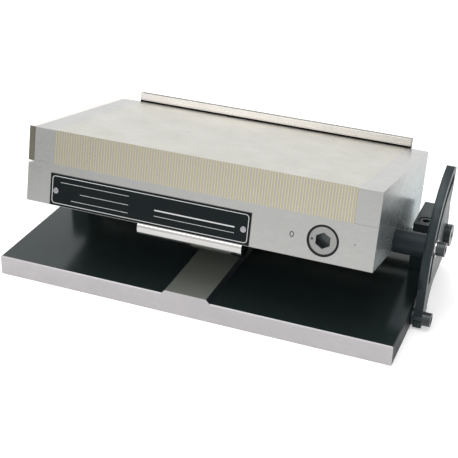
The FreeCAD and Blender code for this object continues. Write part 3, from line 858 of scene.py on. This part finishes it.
@dataclass
class Fasteners:
    """The small screws and rivets of the hinge blocks, the stops and the name plate.

    A seat is where the heads stand. On the hinge blocks it is measured in the frame, with its
    depth counted forward from the hinge, and on the table from the middle of its front
    lower edge.
    """

    place: TablePlace
    block: ScrewSize = ScrewSize(5.0 * MM, 6.0 * MM, 3.0 * MM, 30.5 * MM, 5.0 * MM, 3.0 * MM)
    stop: ScrewSize = ScrewSize(4.75 * MM, 2.7 * MM, 2.5 * MM, 4.5 * MM, 3.0 * MM, 1.6 * MM)
    rail: ScrewSize = ScrewSize(5.0 * MM, 2.7 * MM, 3.0 * MM, 5.9 * MM, 4.0 * MM, 1.6 * MM)
    rivet_radius: float = 2.2 * MM
    rivet_height: float = 0.75 * MM
    rivet_dome: float = 0.95
    block_side: float = 141.5 * MM
    block_forward: float = 11.1 * MM
    block_seat: float = 45.6 * MM
    stop_seat: float = -129.6 * MM
    stop_depths: tuple[float, float] = (36.0 * MM, 108.0 * MM)
    stop_height: float = 42.75 * MM
    rail_side: float = 80.0 * MM
    rail_seat: float = 149.9 * MM
    rail_height: float = 20.0 * MM
    rivet_spots: tuple[float, float] = (-105.6 * MM, 38.1 * MM)
    rivet_seat: float = -0.5 * MM
    rivet_level: float = 11.4 * MM

    def screw(self, name: str, size: ScrewSize) -> bpy.types.Object:
        """Model one socket screw whose head stands on the origin.

        Args:
            name: the piece's name.
            size: its sizes.

        Returns:
            The mesh.
        """
        deselect()
        bpy.ops.mesh.primitive_cylinder_add(vertices=48, radius=size.shank, depth=size.length,
                                            location=(0.0, 0.0, -size.length / 2))
        shank = name_piece(name + "_shank")
        bpy.ops.mesh.primitive_cylinder_add(
            vertices=6, radius=size.key / math.sqrt(3), depth=2 * size.key_depth,
            location=(0.0, 0.0, size.height))
        key = name_piece(name + "_key")
        bpy.ops.mesh.primitive_cylinder_add(vertices=64, radius=size.head, depth=size.height,
                                            location=(0.0, 0.0, size.height / 2))
        piece = name_piece(name)
        for other, operation in ((key, "DIFFERENCE"), (shank, "UNION")):
            cut = piece.modifiers.new("form", "BOOLEAN")
            cut.operation = operation
            cut.object = other
            bpy.ops.object.modifier_apply(modifier=cut.name)
            bpy.data.objects.remove(other)
        edges = piece.modifiers.new("edges", "BEVEL")
        edges.width = size.edge
        edges.segments = 3
        edges.angle_limit = SHARP_ANGLE
        bpy.ops.object.modifier_apply(modifier=edges.name)
        bpy.ops.object.shade_smooth_by_angle(angle=SMOOTH_ANGLE)
        return piece

    def rivet(self) -> bpy.types.Object:
        """Model one domed rivet head that faces up from the origin.

        Returns:
            The mesh.
        """
        deselect()
        bpy.ops.mesh.primitive_cylinder_add(vertices=48, radius=self.rivet_radius,
                                            depth=self.rivet_height,
                                            location=(0.0, 0.0, self.rivet_height / 2))
        piece = name_piece("nameplate_rivet")
        settle(piece, Matrix.Identity(4))
        edges = piece.modifiers.new("dome", "BEVEL")
        edges.width = self.rivet_height * self.rivet_dome
        edges.segments = 6
        edges.angle_limit = SHARP_ANGLE
        bpy.ops.object.modifier_apply(modifier=edges.name)
        bpy.ops.object.mode_set(mode="EDIT")
        bpy.ops.mesh.select_all(action="SELECT")
        bpy.ops.mesh.remove_doubles(threshold=MERGE)
        bpy.ops.mesh.normals_make_consistent(inside=False)
        bpy.ops.object.mode_set(mode="OBJECT")
        bpy.ops.object.shade_smooth_by_angle(angle=SMOOTH_ANGLE)
        return piece

    def spread_out(self, source: bpy.types.Object, name: str, turns: list[Matrix],
                   material: bpy.types.Material, body: Body) -> None:
        """Put copies of a source in their places as one piece.

        Args:
            source: the mesh to copy, which becomes the first copy.
            name: the piece's name.
            turns: the place of each copy.
            material: the finish.
            body: what it rides on.
        """
        bpy.context.view_layer.objects.active = source
        copies = [source]
        for _ in turns[1:]:
            copy = source.copy()
            copy.data = source.data.copy()
            bpy.context.scene.collection.objects.link(copy)
            copies.append(copy)
        for copy, turn in zip(copies, turns):
            settle(copy, turn)
        piece = join(copies, name)
        piece.data.materials.append(material)
        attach(piece, body.value)
        LOG.info("built %s", name)

    def build(self) -> None:
        """Build every kind and spread it out."""
        oxide = OXIDE.build()
        shift = Matrix.Translation
        table = self.place.matrix()
        block_depth = self.place.hinge.y - self.block_forward
        blocks = [shift((side * self.block_side, block_depth, self.block_seat))
                  for side in (1, -1)]
        self.spread_out(self.screw("hinge_block_screws", self.block), "hinge_block_screws",
                        blocks, oxide, Body.BASE)
        to_left = Matrix.Rotation(-math.pi / 2, 4, "Y")
        stops = [table @ shift((self.stop_seat, depth, self.stop_height)) @ to_left
                 for depth in self.stop_depths]
        self.spread_out(self.screw("end_stop_screws", self.stop), "end_stop_screws", stops,
                        oxide, Body.TABLE)
        to_rear = Matrix.Rotation(-math.pi / 2, 4, "X")
        rails = [table @ shift((side * self.rail_side, self.rail_seat, self.rail_height))
                 @ to_rear for side in (-1, 1)]
        self.spread_out(self.screw("back_stop_screws", self.rail), "back_stop_screws", rails,
                        oxide, Body.TABLE)
        to_front = Matrix.Rotation(math.pi / 2, 4, "X")
        rivets = [table @ shift((spot, self.rivet_seat, self.rivet_level)) @ to_front
                  for spot in self.rivet_spots]
        self.spread_out(self.rivet(), "nameplate_rivets", rivets, RIVET_STEEL.build(),
                        Body.TABLE)


@dataclass
class NamePlate:
    """The printed frame and the bare rules of the name plate.

    The rules stand in two blocks. Those of the left block end in line, and each has its own
    left end and height; those of the right block have the same two ends, and each has its
    height and thickness. All are measured from the plate's lower left corner.
    """

    place: TablePlace
    centre: float = -33.7 * MM
    length: float = 153.3 * MM
    bottom: float = 0.4 * MM
    top: float = 23.8 * MM
    face: float = -0.5 * MM
    inset: float = 1.5 * MM
    line: float = 0.45 * MM
    corner: float = 2.4 * MM
    print_height: float = 0.04 * MM
    print_round: float = 0.4
    fine: float = 0.30 * MM
    bold: float = 0.90 * MM
    left_end: float = 62.0 * MM
    left_rules: tuple[tuple[float, float], ...] = (
        (8.0 * MM, 17.6 * MM), (24.0 * MM, 11.2 * MM), (17.0 * MM, 5.4 * MM))
    right_ends: tuple[float, float] = (82.0 * MM, 142.0 * MM)
    right_rules: tuple[tuple[float, float], ...] = (
        (11.4 * MM, bold), (7.2 * MM, fine))

    def frame(self, white: bpy.types.Material) -> bpy.types.Object:
        """Model the rounded frame line.

        Args:
            white: the print's finish.

        Returns:
            The piece.
        """
        deselect()
        middle = (self.bottom + self.top) / 2
        bpy.ops.mesh.primitive_plane_add(size=1.0, location=(self.centre, self.face, middle),
                                         rotation=(math.pi / 2, 0.0, 0.0))
        piece = name_piece("nameplate_frame")
        piece.scale = (self.length - 2 * self.inset, self.top - self.bottom - 2 * self.inset, 1.0)
        settle(piece, Matrix.Identity(4))
        bpy.ops.object.mode_set(mode="EDIT")
        bpy.ops.mesh.select_all(action="SELECT")
        bpy.ops.mesh.bevel(offset=self.corner, segments=6, affect="VERTICES")
        bpy.ops.object.mode_set(mode="OBJECT")
        outline(self.line, self.print_height)
        return self.print_on(piece, white)

    def rule(self, left: float, right: float, height: float, thick: float) -> bpy.types.Object:
        """Model one thin rule with softened edges.

        Args:
            left: its left end from the plate's left edge.
            right: its right end from the plate's left edge.
            height: its height above the plate's lower edge.
            thick: its width.

        Returns:
            The mesh.
        """
        deselect()
        start = self.centre - self.length / 2
        bpy.ops.mesh.primitive_cube_add(
            size=1.0, location=(start + (left + right) / 2, self.face - self.print_height / 2,
                                self.bottom + height))
        piece = name_piece("rule")
        piece.scale = (right - left, self.print_height, thick)
        settle(piece, Matrix.Identity(4))
        bevel = piece.modifiers.new("ends", "BEVEL")
        bevel.width = self.print_height * self.print_round
        bevel.segments = 2
        bpy.ops.object.modifier_apply(modifier=bevel.name)
        return piece

    def rules(self, white: bpy.types.Material) -> bpy.types.Object:
        """Model all the rules as one piece.

        Args:
            white: the print's finish.

        Returns:
            The piece.
        """
        made = [self.rule(left, self.left_end, height, self.fine)
                for left, height in self.left_rules]
        made += [self.rule(*self.right_ends, height, thick)
                 for height, thick in self.right_rules]
        return self.print_on(join(made, "nameplate_rules"), white)

    def print_on(self, piece: bpy.types.Object, white: bpy.types.Material) -> bpy.types.Object:
        """Dress a print, put it on the tilted table and let it ride there.

        Args:
            piece: the print, on the level table.
            white: its finish.

        Returns:
            The piece.
        """
        piece.data.materials.append(white)
        settle(piece, self.place.matrix())
        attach(piece, Body.TABLE.value)
        LOG.info("built %s", piece.name)
        return piece

    def build(self) -> None:
        """Build the frame and the rules."""
        white = LABEL_WHITE.build()
        self.frame(white)
        self.rules(white)


@dataclass
class SwitchMarks:
    """The stamped nought, the index dot and the small dot beside the switch.

    Each spot is a mark's centre along and up the level table. The marks stand by a hair above
    the face that they lie on.
    """

    place: TablePlace
    nought: tuple[float, float] = (72.0 * MM, 15.0 * MM)
    nought_width: float = 3.1 * MM
    nought_height: float = 4.2 * MM
    stroke: float = 0.62 * MM
    dot: tuple[float, float] = (115.4 * MM, 16.4 * MM)
    dot_radius: float = 0.45 * MM
    index: tuple[float, float] = (86.0 * MM, 14.7 * MM)
    index_radius: float = 0.9 * MM
    disc_face: float = 0.4 * MM
    stand: float = 0.03 * MM
    dot_round: float = 0.8

    def ring(self, name: str, spot: tuple[float, float], face: float, width: float,
             height: float, stroke: float) -> bpy.types.Object:
        """Model a flat oval ring on the front face.

        Args:
            name: the piece's name.
            spot: its centre along and up the table.
            face: the depth of the face it lies on.
            width: its outer width.
            height: its outer height.
            stroke: the line's width.

        Returns:
            The mesh.
        """
        deselect()
        bpy.ops.mesh.primitive_circle_add(
            vertices=40, radius=width / 2, fill_type="NGON",
            location=(spot[0], face + self.stand, spot[1]), rotation=(math.pi / 2, 0.0, 0.0))
        piece = name_piece(name)
        piece.scale = (1.0, height / width, 1.0)
        settle(piece, Matrix.Identity(4))
        outline(stroke, 2 * self.stand)
        return piece

    def spot(self, name: str, spot: tuple[float, float], face: float,
             radius: float) -> bpy.types.Object:
        """Model a small round dot with a domed face.

        Args:
            name: the piece's name.
            spot: its centre along and up the table.
            face: the depth of the face it lies on.
            radius: its radius.

        Returns:
            The mesh.
        """
        deselect()
        bpy.ops.mesh.primitive_cylinder_add(
            vertices=24, radius=radius, depth=2 * self.stand, end_fill_type="NGON",
            location=(spot[0], face, spot[1]), rotation=(math.pi / 2, 0.0, 0.0))
        piece = name_piece(name)
        settle(piece, Matrix.Identity(4))
        bevel = piece.modifiers.new("rim", "BEVEL")
        bevel.width = self.stand * self.dot_round
        bevel.segments = 2
        bevel.limit_method = "ANGLE"
        bpy.ops.object.modifier_apply(modifier=bevel.name)
        return piece

    def build(self) -> None:
        """Build the marks and let each ride on its body."""
        dark = ENGRAVING.build()
        zero = self.ring("switch_nought", self.nought, 0.0, self.nought_width,
                         self.nought_height, self.stroke)
        small = self.spot("switch_stop_dot", self.dot, 0.0, self.dot_radius)
        index = self.spot("switch_index_dot", self.index, self.disc_face, self.index_radius)
        for piece, body in ((zero, Body.TABLE), (small, Body.TABLE), (index, Body.SWITCH)):
            piece.data.materials.append(dark)
            settle(piece, self.place.matrix())
            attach(piece, body.value)
            LOG.info("built %s", piece.name)


@dataclass(frozen=True)
class Lamp:
    """One soft studio lamp."""

    name: str
    place: Place
    size: tuple[float, float]
    power: float
    aim: Place = (0.0, 0.0, 0.05)

    def build(self) -> None:
        """Hang the lamp and turn it to its aim."""
        light = bpy.data.lights.new(self.name, "AREA")
        light.shape = "RECTANGLE"
        light.size, light.size_y = self.size
        light.energy = self.power
        item = bpy.data.objects.new(self.name, light)
        bpy.context.scene.collection.objects.link(item)
        item.location = self.place
        direction = Vector(self.aim) - Vector(self.place)
        item.rotation_euler = direction.to_track_quat("-Z", "Y").to_euler()


LAMPS = (
    Lamp("top_box", (-0.05, -0.1, 1.1), (0.9, 0.9), 6.0),
    Lamp("front_box", (-0.55, -1.1, 0.85), (0.7, 0.7), 3.2),
    Lamp("back_box", (-0.5, 1.7, 0.42), (2.4, 0.8), 2.4),
)


@dataclass
class Studio:
    """The pale floor, the grey card, the plain world, the lamps and the camera.

    The floor lies a hair under the base, so that the two faces don't flicker. Its lift is the
    light that it gives off to the eye, which takes it up to white around the shadow. The card
    shades the left of the front faces, where they would mirror nothing but white. The
    camera's angles are in degrees, and its lens and sensor in millimetres.
    """

    floor_size: float = 8.0
    floor_level: float = -0.2 * MM
    floor_color: Color = (0.90, 0.90, 0.90)
    floor_lift: float = 0.43
    world_level: float = 0.62
    card_place: Place = (-0.68, -0.75, 0.01)
    card_size: tuple[float, float] = (0.7, 0.7)
    card_color: Color = (0.20, 0.20, 0.20)
    camera_place: Place = (268.983 * MM, -687.078 * MM, 432.534 * MM)
    azimuth: float = 21.146
    elevation: float = 28.363
    roll: float = 1.390
    lens: float = 88.04
    sensor: float = 36.0
    nearest: float = 10.0 * MM

    def floor(self) -> None:
        """Lay the floor, which looks white to the camera and keeps the shadow."""
        deselect()
        bpy.ops.mesh.primitive_plane_add(size=self.floor_size,
                                         location=(0.0, 0.0, self.floor_level))
        floor = name_piece("floor")
        graph = Graph("floor_paper")
        paper = graph.node("BsdfDiffuse", Color=self.floor_color)
        glow = graph.node("Emission", Color=WHITE, Strength=self.floor_lift)
        lifted = graph.node("AddShader")
        graph.feed(lifted.inputs[0], paper.outputs[0])
        graph.feed(lifted.inputs[1], glow.outputs[0])
        whole = graph.layer(graph.seen(), paper.outputs[0], lifted.outputs[0])
        floor.data.materials.append(graph.finish(whole))

    def card(self) -> None:
        """Lay a grey card on the left in front, seen only in the gloss of the front faces."""
        deselect()
        bpy.ops.mesh.primitive_plane_add(size=1.0, location=self.card_place)
        card = name_piece("grey_card")
        card.scale = (*self.card_size, 1.0)
        settle(card, Matrix.Identity(4))
        graph = Graph("grey_card")
        paper = graph.node("BsdfDiffuse", Color=self.card_color)
        card.data.materials.append(graph.finish(paper.outputs[0]))
        card.visible_camera = False
        card.visible_diffuse = False
        card.visible_shadow = False
        card.visible_transmission = False

    def world(self) -> None:
        """Make an even world that the camera, gloss and glass see as white."""
        world = bpy.data.worlds.new("studio")
        bpy.context.scene.world = world
        world.use_nodes = True
        tree = Tree(world.node_tree)
        even = tree.node("Background", Color=WHITE, Strength=self.world_level)
        white = tree.node("Background", Color=WHITE, Strength=1.0)
        whole = tree.layer(tree.seen(), even.outputs[0], white.outputs[0])
        tree.feed(tree.node("OutputWorld").inputs["Surface"], whole)

    def camera(self) -> None:
        """Place the camera at the fitted view."""
        azimuth, elevation, roll = (math.radians(value)
                                    for value in (self.azimuth, self.elevation, self.roll))
        back = Vector((math.sin(azimuth) * math.cos(elevation),
                       -math.cos(azimuth) * math.cos(elevation), math.sin(elevation)))
        right = Vector((math.cos(azimuth), math.sin(azimuth), 0.0))
        up = back.cross(right)
        side = right * math.cos(roll) + up * math.sin(roll)
        rise = up * math.cos(roll) - right * math.sin(roll)
        turn = Matrix((side, rise, back)).transposed().to_4x4()
        data = bpy.data.cameras.new("view")
        data.lens = self.lens
        data.sensor_width = self.sensor
        data.sensor_fit = "HORIZONTAL"
        data.clip_start = self.nearest
        camera = bpy.data.objects.new("view", data)
        bpy.context.scene.collection.objects.link(camera)
        camera.matrix_world = Matrix.Translation(self.camera_place) @ turn
        bpy.context.scene.camera = camera

    def build(self) -> None:
        """Build the whole studio."""
        bpy.context.scene.view_settings.view_transform = "Standard"
        self.floor()
        self.card()
        self.world()
        for lamp in LAMPS:
            lamp.build()
        self.camera()


def main() -> None:
    """Load the frame, dress it, add the details and light it."""
    logging.basicConfig(level=logging.INFO, format="%(name)s: %(message)s")
    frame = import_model()
    place = TablePlace.read(frame)
    steps: list[Callable[[], None]] = [
        BaseAssembly(frame["nodes"]).build,
        Table(frame["nodes"], place).build,
        Fasteners(place).build,
        NamePlate(place).build,
        SwitchMarks(place).build,
        Studio().build,
    ]
    for step in steps:
        step()


if __name__ == "__main__":
    main()
